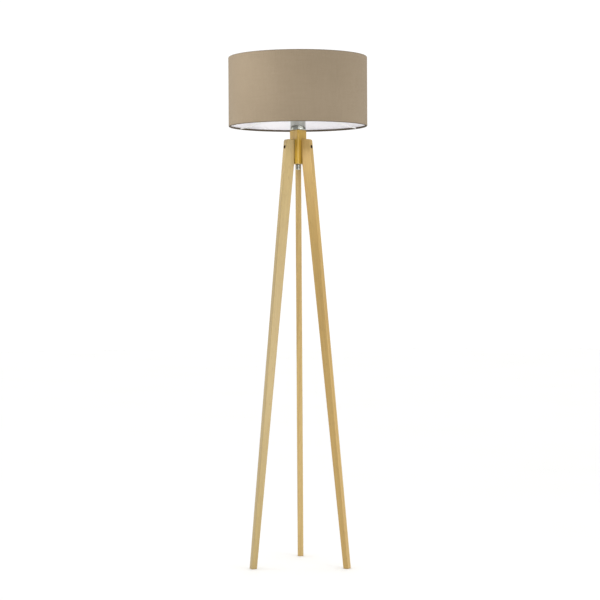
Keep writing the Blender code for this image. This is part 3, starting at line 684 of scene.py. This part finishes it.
# =====================================================================  lampholder
cup_outline = rounded(
    [
        (5.3, 1255.3, 0), (22.0, 1255.3, 1.6), (22.0, 1283.3, 0.3), (21.7, 1284.0, 0.15), (20.8, 1284.0, 0), (20.8, 1256.8, 0.8),
        (5.3, 1256.8, 0),
    ],
    6,
)
cup = piece("lampholder_cup_shell", revolve("lampholder_cup_shell", cup_outline, 128), CHROME, "stand", "lampholder_cup")
carve(cup, [tool(prism("t", ring_of(1.8, 24), 1250.0, 1260.0), Matrix.Translation((0, 0.0145, 0)))])
cup.data.set_sharp_from_angle(angle=math.radians(32))
sleeve_outline = (
    rounded([(20.8, 1284.3, 0), (21.7, 1284.3, 0.15), (22.0, 1285.0, 0.3), (22.0, 1298.0, 0.9), (19.4, 1298.0, 0), (19.4, 1291.0, 0)], 5)[:-1]
    + threaded_run(19.8, 1298.6, 1320.6, 0.25, 1.2)
    + [(19.4, 1321.6), (19.0, 1322.0), (17.8, 1322.0), (17.5, 1321.7), (17.5, 1297.4), (17.8, 1296.8), (20.2, 1296.8), (20.8, 1296.2)]
)
piece(
    "lampholder_sleeve_shell", revolve("lampholder_sleeve_shell", sleeve_outline, 96, thread(2.5, 0.75, sharpness=1.6)), CHROME, "stand",
    "lampholder_sleeve",
)
CERAMIC = ceramic("glazed_ceramic")
core_outline = rounded(
    [
        (0, 1270, 0), (17.1, 1270, 0.6), (17.1, 1281, 0.4), (20.4, 1281, 0.5), (20.4, 1283.7, 0.5), (17.1, 1283.7, 0.3), (17.1, 1317, 0.4),
        (16.1, 1317, 0.4), (16.1, 1308.5, 1.0), (14.2, 1305, 0.6), (14.2, 1279, 1.0), (0, 1279, 0),
    ],
    4,
)
piece("lampholder_core_body", revolve("lampholder_core_body", core_outline, 72), CERAMIC, "stand", "lampholder_core")
BRASS = metal("brass", (206, 170, 96), (0.2, 0.34), turned=0.4, dirt=(150, 112, 58))


def shell_shift(r, z, weight, theta):
    phase = z / 3.63 - theta / (2 * math.pi)
    return 0.32 * weight * np.cos(2 * math.pi * phase)


shell_outline = [(13.75, z, min(1.0, (z - 1279.3) / 2.5, (1304.0 - z) / 2.5)) for z in np.linspace(1279.3, 1304.0, 70)]
shell_outline += [(13.40, z, min(1.0, (z - 1279.3) / 2.5, (1304.0 - z) / 2.5)) for z in np.linspace(1304.0, 1279.3, 70)]
piece("screw_shell_rolled", revolve("screw_shell_rolled", shell_outline, 64, shell_shift), BRASS, "stand", "screw_shell")

# =====================================================================  shade: cover, liner, wire frame
FABRIC_T, BEAD, WALL_R = 0.45, 2.5, SHADE_R - 0.30
bead_r = WALL_R - BEAD


def bead(height, way):
    """Centreline of the fabric rolled round a wire, from the wall over the rim and back down to the liner."""
    points = []
    for k in range(25):
        a = math.radians(way * -280.0 * k / 24)
        points.append((bead_r + BEAD * math.cos(a), height + BEAD * math.sin(a)))
    points.append((bead_r + 0.9 * BEAD * 0.62, height + way * BEAD * 0.80))
    return points


low_wire, high_wire = SHADE_LOW + BEAD + FABRIC_T / 2, SHADE_HIGH - BEAD - FABRIC_T / 2
wall = [(WALL_R, z) for z in np.linspace(low_wire + 1.0, high_wire - 1.0, 24)]
centreline = bead(low_wire, 1.0)[::-1] + wall + bead(high_wire, -1.0)


def thick_loop(line, thickness):
    """Closed outline of constant thickness along an open line."""
    left, right = [], []
    count = len(line)
    for i in range(count):
        a, b = Vector(line[max(i - 1, 0)]), Vector(line[min(i + 1, count - 1)])
        d = (b - a).normalized()
        n = Vector((d.y, -d.x))
        p = Vector(line[i])
        left.append(tuple(p + n * thickness / 2))
        right.append(tuple(p - n * thickness / 2))
    return left + right[::-1]


# columns: even, with extra ones where the outer layer of the overlap steps down
overlap = 6.0 / SHADE_R
angles = sorted(
    set(
        [round(2 * math.pi * i / 360, 6) for i in range(360) if abs(2 * math.pi * i / 360 - SEAM) > overlap * 2.4]
        + [round(SEAM + overlap * t, 6) for t in (-2.3, -2.0, -1.75, -1.5, -1.25, -1.0, -0.6, -0.2, 0.2, 0.6, 0.9, 0.99, 1.01, 1.02, 1.15, 1.6, 2.2)]
    )
)


def seam_step(theta):
    t = (theta - SEAM) / overlap
    up = np.clip((t + 2.0) / 1.0, 0, 1)
    return np.where(t > 1.005, 0.0, up * up * (3 - 2 * up)) * 0.42


def cover_shift(r, z, weight, theta):
    # a rolled rim stays true to its wire, the wall between breathes by a few tenths
    free = math.sin(math.pi * min(max((z - SHADE_LOW) / (SHADE_HIGH - SHADE_LOW), 0), 1)) ** 0.7
    wave = 0.16 * np.sin(3 * theta + 0.7 + z * 0.004) + 0.10 * np.sin(7 * theta + 2.1 - z * 0.01) + 0.05 * np.sin(19 * theta)
    outside = 1.0 if r > WALL_R - 0.6 else 0.0
    return free * wave + seam_step(theta) * outside


def rim_mask(r, z):
    """1 on the turned-in roll, easing out up the wall."""
    edge = min(z - SHADE_LOW, SHADE_HIGH - z)
    inside = 1.0 if r < WALL_R - 0.7 else 0.0
    return max(inside, min(1.0, max(0.0, (2.2 - edge) / 1.6)))


FABRIC = weave("taupe_weave", rim=(84, 73, 59))
cover = piece(
    "shade_cover", revolve("shade_cover", thick_loop(centreline, FABRIC_T), np.array(angles), cover_shift, rim_mask), FABRIC,
    "shade", "shade_fabric", sharp=50,
)
LINER = liner_sheet("white_liner_sheet")


def liner_shift(r, z, weight, theta):
    free = math.sin(math.pi * min(max((z - SHADE_LOW) / (SHADE_HIGH - SHADE_LOW), 0), 1)) ** 0.7
    wave = 0.16 * np.sin(3 * theta + 0.7 + z * 0.004) + 0.10 * np.sin(7 * theta + 2.1 - z * 0.01)
    t = (theta - SEAM) / overlap
    down = np.clip((2.0 - t) / 1.0, 0, 1)
    inner = 1.0 if r < WALL_R - 0.9 else 0.0
    return free * wave - np.where(t < -1.005, 0.0, down * down * (3 - 2 * down)) * 0.35 * inner


liner_line = [(WALL_R - 0.55, z) for z in np.linspace(low_wire - 1.2, high_wire + 1.2, 24)]
liner_angles = sorted(set([round(2 * math.pi - (a - SEAM) + SEAM, 6) % (2 * math.pi) for a in angles]))
piece(
    "shade_liner_sheet", revolve("shade_liner_sheet", thick_loop(liner_line, 0.4), np.array(liner_angles), liner_shift), LINER, "shade",
    "shade_liner", sharp=50,
)
COAT = powder_coat("white_powder_coat")
for name, height in (("bottom", low_wire), ("top", high_wire)):
    section = [(bead_r + 1.6 * math.cos(a), height + 1.6 * math.sin(a)) for a in np.linspace(0, 2 * math.pi, 16, endpoint=False)]
    piece(
        "wire_ring_" + name, revolve("wire_ring_" + name, section, 240), COAT, "shade", "shade_ring_" + name, sharp=0,
    ).data.shade_smooth()
fitter_outline = rounded([(20.4, 1298.3, 0.3), (30.5, 1298.3, 0.5), (30.5, 1299.8, 0.5), (20.4, 1299.8, 0.3)], 4)
piece("fitter_ring_plate", revolve("fitter_ring_plate", fitter_outline, 96), COAT, "shade", "shade_fitter_ring")


def spoke_point(r):
    start, end = 58.0, 195.3
    t = min(max((r - start) / (end - start), 0.0), 1.0)
    return 1300.05 + (low_wire - 1300.05) * (t * t * (3 - 2 * t) * 0.35 + t * 0.65)


for side, azimuth in (("front", -90.0), ("right", 30.0), ("left", 150.0)):
    curve = bpy.data.curves.new("spoke_rod_" + side, "CURVE")
    curve.dimensions, curve.bevel_depth, curve.bevel_resolution, curve.use_fill_caps = "3D", 0.0017, 5, True
    line = curve.splines.new("POLY")
    radii = np.linspace(27.6, 195.6, 60)
    line.points.add(len(radii) - 1)
    for point, r in zip(line.points, radii):
        point.co = (r / 1000, 0.0, spoke_point(r) / 1000, 1.0)
    curve.materials.append(COAT)
    rod = bpy.data.objects.new("spoke_rod_" + side, curve)
    SCENE.collection.objects.link(rod)
    rod.matrix_world = Matrix.Rotation(math.radians(azimuth), 4, "Z")
    rod.data.splines[0].use_smooth = True
    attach(rod, "shade")
    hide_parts("shade_spoke_" + side)
    # weld beads where the rod meets the fitter ring and the wire ring
    bm = bmesh.new()
    for r, z, size in ((30.2, 1299.7, (3.0, 2.9, 1.3)), (194.6, low_wire + 0.4, (1.8, 2.7, 1.7))):
        bmesh.ops.create_icosphere(
            bm, subdivisions=3, radius=0.001,
            matrix=Matrix.Translation((r / 1000, 0, z / 1000)) @ Matrix.Diagonal((*size, 1.0)),
        )
    mesh = bpy.data.meshes.new("spoke_welds_" + side)
    bm.to_mesh(mesh)
    bm.free()
    piece("spoke_welds_" + side, mesh, COAT, "shade", (), Matrix.Rotation(math.radians(azimuth), 4, "Z"), sharp=60)


# =====================================================================  clamp ring
def clamp_shift(r, z, weight, theta):
    return -1.1 * weight * (0.5 - 0.5 * np.cos(24 * theta)) ** 0.8


clamp_outline = (
    [(20.3, 1300.1), (26.4, 1300.1), (27.0, 1300.5), (27.0, 1301.5), (26.5, 1301.9), (25.2, 1301.9), (24.9, 1302.1, 1.0)]
    + [(24.9, 1305.3, 1.0), (24.5, 1305.9, 0.6), (23.9, 1306.1, 0.0), (20.8, 1306.1), (20.3, 1305.7)]
)
piece(
    "clamp_ring_ribbed", revolve("clamp_ring_ribbed", clamp_outline, 192, clamp_shift), CHROME, "clamp_ring",
    "shade_clamp_ring", sharp=38,
)


# =====================================================================  bulb
def bulb_cap_shift(r, z, weight, theta):
    phase = z / 3.63 - theta / (2 * math.pi)
    return -0.95 * weight * (0.5 - 0.5 * np.cos(2 * math.pi * phase))


def bulb_cap_point(z):
    w = min(1.0, (z - 1289.5) / 2.0, (1305.5 - z) / 2.5)
    return (13.05, z, max(0.0, w))


cap_outline = [(0.0, 1283.5), (3.4, 1283.5), (4.4, 1283.9), (4.8, 1284.6), (4.9, 1285.3), (5.4, 1285.5), (10.4, 1287.2), (11.3, 1287.9), (12.5, 1288.6)]
cap_outline += [bulb_cap_point(z) for z in np.linspace(1289.4, 1305.6, 66)]
cap_outline += [(13.05, 1307.2), (13.15, 1307.6), (13.15, 1308.7), (12.9, 1309.0), (0.0, 1309.0)]
CAP_METAL = metal("nickel_cap", (196, 194, 188), (0.2, 0.32), turned=0.3, dirt=(150, 146, 138))
cap = piece("bulb_cap_rolled", revolve("bulb_cap_rolled", cap_outline, 72, bulb_cap_shift), CAP_METAL, "bulb", "bulb_cap")
cap.data.materials.append(plastic("black_glass", (38, 37, 36), (0.15, 0.3)))
cap.data.materials.append(metal("solder", (172, 172, 168), (0.3, 0.5), dirt=(120, 116, 108)))
for polygon in cap.data.polygons:
    if polygon.center.z < 1.28545:
        polygon.material_index = 2
    elif polygon.center.z < 1.2879:
        polygon.material_index = 1


def bulb_profile(shrink):
    top, radius, tip = 1391.0, 30.0, 1309.3
    centre = top - radius
    joint = math.radians(-38.0)
    head = Vector((radius * math.cos(joint), centre + radius * math.sin(joint)))
    slope = Vector((-math.sin(joint), math.cos(joint)))
    p0 = Vector((12.9, tip))
    p1, p2, p3 = p0 + Vector((0.0, 12.0)), head - slope * 12.0, head
    points = []
    for i in range(26):
        t = i / 26
        p = p0 * (1 - t) ** 3 + p1 * 3 * t * (1 - t) ** 2 + p2 * 3 * t * t * (1 - t) + p3 * t**3
        d = (p1 - p0) * (1 - t) ** 2 + (p2 - p1) * 2 * t * (1 - t) + (p3 - p2) * t * t
        n = Vector((d.y, -d.x)).normalized()
        q = p - n * shrink
        points.append((q.x, tip if i == 0 else q.y))
    for i in range(34):
        a = joint + (math.pi / 2 - joint) * i / 34
        points.append(((radius - shrink) * math.cos(a), centre + (radius - shrink) * math.sin(a)))
    points.append((0.0, centre + radius - shrink))
    return points


OPAL = opal("opal_glass")
piece(
    "bulb_globe", revolve("bulb_globe", bulb_profile(0.0) + bulb_profile(0.8)[::-1], 96), OPAL, "bulb", "bulb_glass",
    sharp=60,
)

# =====================================================================  CAD nodes that stay
for names, look in (
    (("terminal_block_live", "terminal_block_neutral", "centre_contact"), BRASS),
    (("terminal_screw_live", "terminal_screw_neutral", "earth_screw", "tube_locknut"), ZINC),
):
    for name in names:
        NODES[name].data.materials.clear()
        NODES[name].data.materials.append(look)

# =====================================================================  floor, light, camera
floor = Graph("pale_floor")
tone = floor.noise(floor.mapping(floor.coords(), scale=(1.3, 1.3, 1.0)), 1.0, 3.0, 0.5)
floor.set(
    Base_Color=floor.mix(floor.span(tone, 0.3, 0.7), srgb(251, 251, 250), srgb(249, 249, 248)), Roughness=0.75,
    Specular_IOR_Level=0.2,
)
bm = bmesh.new()
bmesh.ops.create_circle(bm, cap_ends=True, segments=96, radius=14.0)
mesh = bpy.data.meshes.new("floor")
bm.to_mesh(mesh)
bm.free()
ground = bpy.data.objects.new("floor", mesh)
SCENE.collection.objects.link(ground)
mesh.materials.append(floor.material)
ground.location = (0, 0, -0.0004)

world = bpy.data.worlds.new("studio")
SCENE.world = world
world.use_nodes = True
tree = world.node_tree
tree.nodes.clear()
w_out = tree.nodes.new("ShaderNodeOutputWorld")
soft = tree.nodes.new("ShaderNodeBackground")
seen = tree.nodes.new("ShaderNodeBackground")
blend = tree.nodes.new("ShaderNodeMixShader")
path = tree.nodes.new("ShaderNodeLightPath")
# the room is darker to the front left
coord = tree.nodes.new("ShaderNodeTexCoord")
dot = tree.nodes.new("ShaderNodeVectorMath")
dot.operation = "DOT_PRODUCT"
dot.inputs[1].default_value = (-0.5, -0.866, 0.0)
ramp = tree.nodes.new("ShaderNodeValToRGB")
ramp.color_ramp.interpolation = "EASE"
ramp.color_ramp.elements[0].position, ramp.color_ramp.elements[0].color = 0.30, (1.0, 1.0, 1.0, 1.0)
ramp.color_ramp.elements[1].position, ramp.color_ramp.elements[1].color = 0.85, (0.88, 0.88, 0.88, 1.0)
tree.links.new(coord.outputs["Generated"], dot.inputs[0])
tree.links.new(dot.outputs["Value"], ramp.inputs[0])
tree.links.new(ramp.outputs[0], soft.inputs["Color"])
soft.inputs["Strength"].default_value = 1.10
seen.inputs["Color"].default_value = (1.0, 1.0, 1.0, 1.0)
seen.inputs["Strength"].default_value = 1.05
# what polished metal sees: a large bright panel to the front right, another to the rear left, dimmer walls between
mirror_dot = tree.nodes.new("ShaderNodeVectorMath")
mirror_dot.operation = "DOT_PRODUCT"
mirror_dot.inputs[1].default_value = (0.682, -0.731, 0.0)
tree.links.new(coord.outputs["Generated"], mirror_dot.inputs[0])
spread = tree.nodes.new("ShaderNodeMapRange")
spread.inputs["From Min"].default_value, spread.inputs["From Max"].default_value = -1.0, 1.0
tree.links.new(mirror_dot.outputs["Value"], spread.inputs["Value"])
panels = tree.nodes.new("ShaderNodeValToRGB")
panels.color_ramp.interpolation = "EASE"
for position, level in ((0.20, 1.1), (0.28, 0.42), (0.85, 0.38), (0.92, 1.45)):
    stop = panels.color_ramp.elements.new(position)
    stop.color = (level, level, level, 1.0)
panels.color_ramp.elements.remove(panels.color_ramp.elements[-1])
panels.color_ramp.elements.remove(panels.color_ramp.elements[0])
tree.links.new(spread.outputs["Result"], panels.inputs[0])
shine = tree.nodes.new("ShaderNodeBackground")
tree.links.new(panels.outputs[0], shine.inputs["Color"])
shine.inputs["Strength"].default_value = 1.0
room = tree.nodes.new("ShaderNodeMixShader")
tree.links.new(path.outputs["Is Glossy Ray"], room.inputs[0])
tree.links.new(soft.outputs[0], room.inputs[1])
tree.links.new(shine.outputs[0], room.inputs[2])
tree.links.new(path.outputs["Is Camera Ray"], blend.inputs[0])
tree.links.new(room.outputs[0], blend.inputs[1])
tree.links.new(seen.outputs[0], blend.inputs[2])
tree.links.new(blend.outputs[0], w_out.inputs[0])


def area_light(name, location, target, size, power, colour=(1, 1, 1), spread=180.0):
    data = bpy.data.lights.new(name, "AREA")
    data.shape, data.size, data.size_y, data.energy, data.color = "RECTANGLE", size[0], size[1], power, colour
    data.spread = math.radians(spread)
    obj = bpy.data.objects.new(name, data)
    SCENE.collection.objects.link(obj)
    obj.location = location
    obj.rotation_euler = (Vector(target) - Vector(location)).to_track_quat("-Z", "Y").to_euler()
    return obj


def around(azimuth, distance, height):
    """A point at this azimuth from the front (degrees, to the right), this far from the lamp's axis."""
    return distance * math.sin(math.radians(azimuth)), -distance * math.cos(math.radians(azimuth)), height


WARM = (1.0, 0.99, 0.97)
area_light("softbox_left_high", around(-52, 1.9, 1.95), (0, 0, 1.325), (0.3, 0.3), 0.48, WARM, 22)
area_light("softbox_right_high", around(75, 1.9, 1.95), (0, 0, 1.35), (0.3, 0.3), 0.2, WARM, 24)
area_light("softbox_right", around(45, 2.2, 0.58), (0, 0, 0.58), (0.6, 1.0), 2.2, WARM, 60)
area_light("softbox_left", around(-95, 2.2, 0.55), (0, 0, 0.55), (0.6, 1.0), 0.9, WARM, 60)

camera_data = bpy.data.cameras.new("camera")
camera_data.lens, camera_data.sensor_width = 108.0, 36.0
camera_data.clip_start, camera_data.clip_end = 0.05, 100.0
camera = bpy.data.objects.new("camera", camera_data)
SCENE.collection.objects.link(camera)
PITCH, YAW, ROLL = 0.0177, -0.00526, -0.00531
forward = Vector((math.sin(YAW) * math.cos(PITCH), math.cos(YAW) * math.cos(PITCH), -math.sin(PITCH)))
flat = Vector((math.cos(YAW), -math.sin(YAW), 0.0))
up = flat.cross(forward)
right = flat * math.cos(ROLL) + up * math.sin(ROLL)
up = right.cross(forward)
camera.matrix_world = Matrix(
    (
        (right.x, up.x, -forward.x, 0.03046),
        (right.y, up.y, -forward.y, -5.2),
        (right.z, up.z, -forward.z, 0.85726),
        (0, 0, 0, 1),
    )
)
SCENE.camera = camera
SCENE.view_settings.view_transform = "Standard"
SCENE.view_settings.look = "None"
